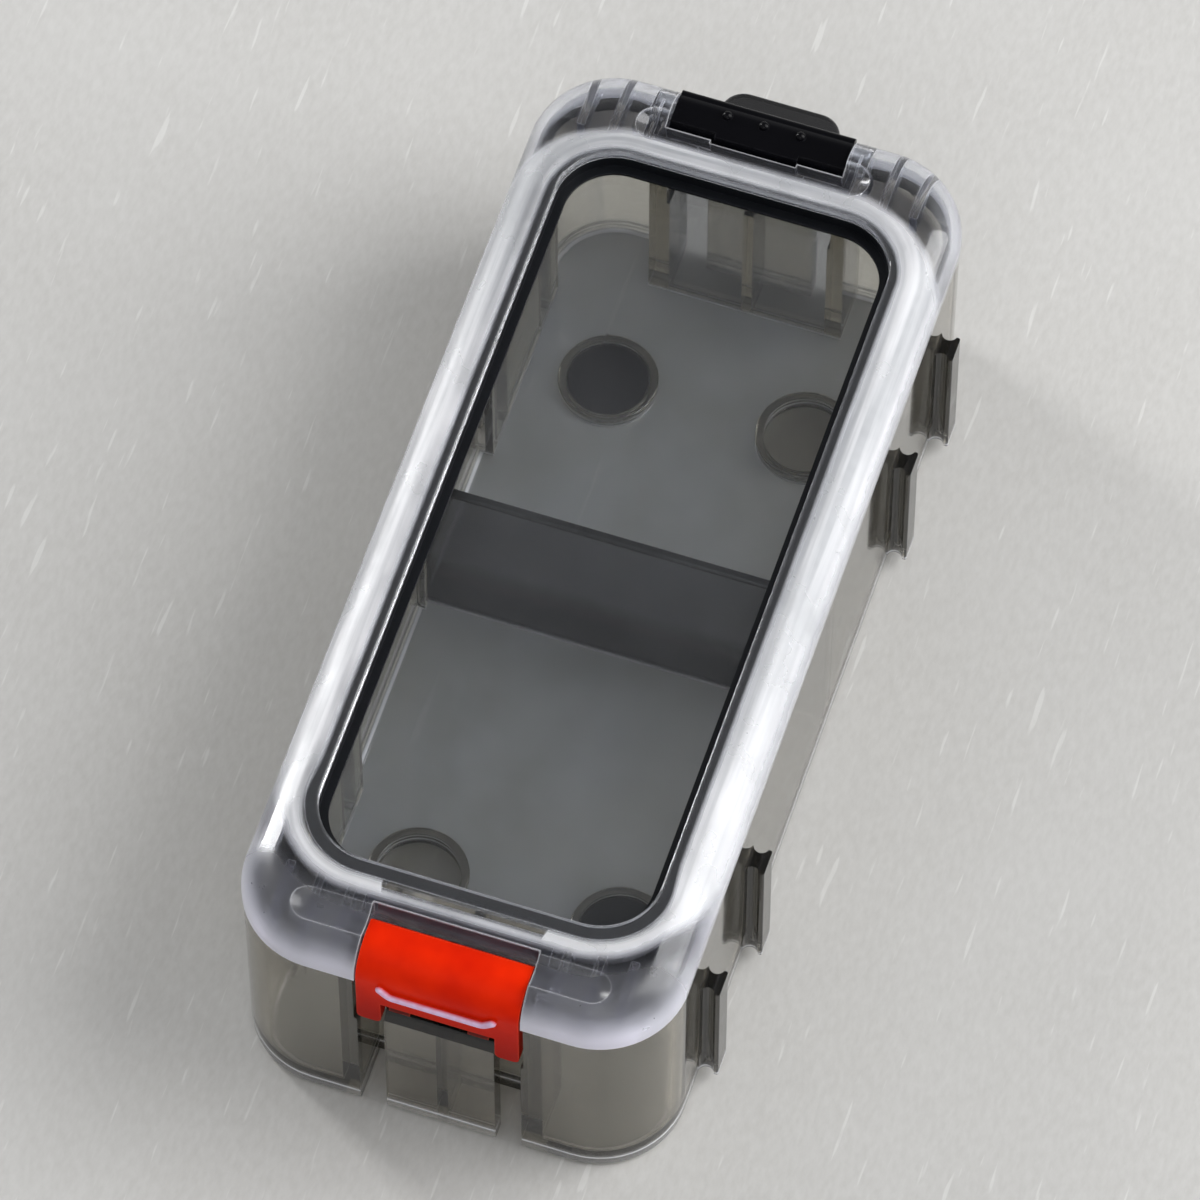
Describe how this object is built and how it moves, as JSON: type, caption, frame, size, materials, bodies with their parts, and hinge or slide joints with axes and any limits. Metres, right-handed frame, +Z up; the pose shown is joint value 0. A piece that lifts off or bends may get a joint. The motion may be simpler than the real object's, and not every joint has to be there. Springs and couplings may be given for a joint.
{
  "type": "small tackle box with hinged window lid and front latch",
  "caption": "Slim pocket tackle box: smoked tub with one divider, clear hinged lid with a gasketed window, front snap latch, side coupling prongs and slots, rear hang loop.",
  "frame": {"origin": "middle of the tub's underside", "axes": "+Z up, +Y towards the hinge, -Y towards the latch, +X towards the coupling prongs"},
  "size_m": [0.0573, 0.1345, 0.0383],
  "materials": {
    "smoked_plastic": "smoked see-through",
    "dark_smoked_plastic": "dark smoked",
    "clear_plastic": "clear polished",
    "gasket_rubber": "smooth",
    "magnet": "satin black coat",
    "black_plastic": "gloss",
    "latch_red": "gloss",
    "pin_steel": "drawn wire"
  },
  "bodies": {
    "base": {"base_tub": "smoked_plastic", "divider": "dark_smoked_plastic", "magnet_rear_left": "magnet", "magnet_front_right": "magnet", "hinge_plate": "black_plastic", "hinge_pin": "pin_steel", "hang_loop": "dark_smoked_plastic"},
    "lid": {"lid_frame": "clear_plastic", "window_pane": "clear_plastic", "window_gasket": "gasket_rubber", "latch_pin": "pin_steel"},
    "latch": {"latch": "latch_red"}
  },
  "joints": [
    {"name": "lid_hinge", "type": "hinge", "parent": "base", "child": "lid", "pos_m": [0, 0.0605, 0.03455], "axis": [-1, 0, 0], "range_deg": [0, 115]},
    {"name": "latch_pivot", "type": "hinge", "parent": "lid", "child": "latch", "pos_m": [0, -0.0585, 0.0351], "axis": [-1, 0, 0], "range_deg": [0, 95]}
  ]
}
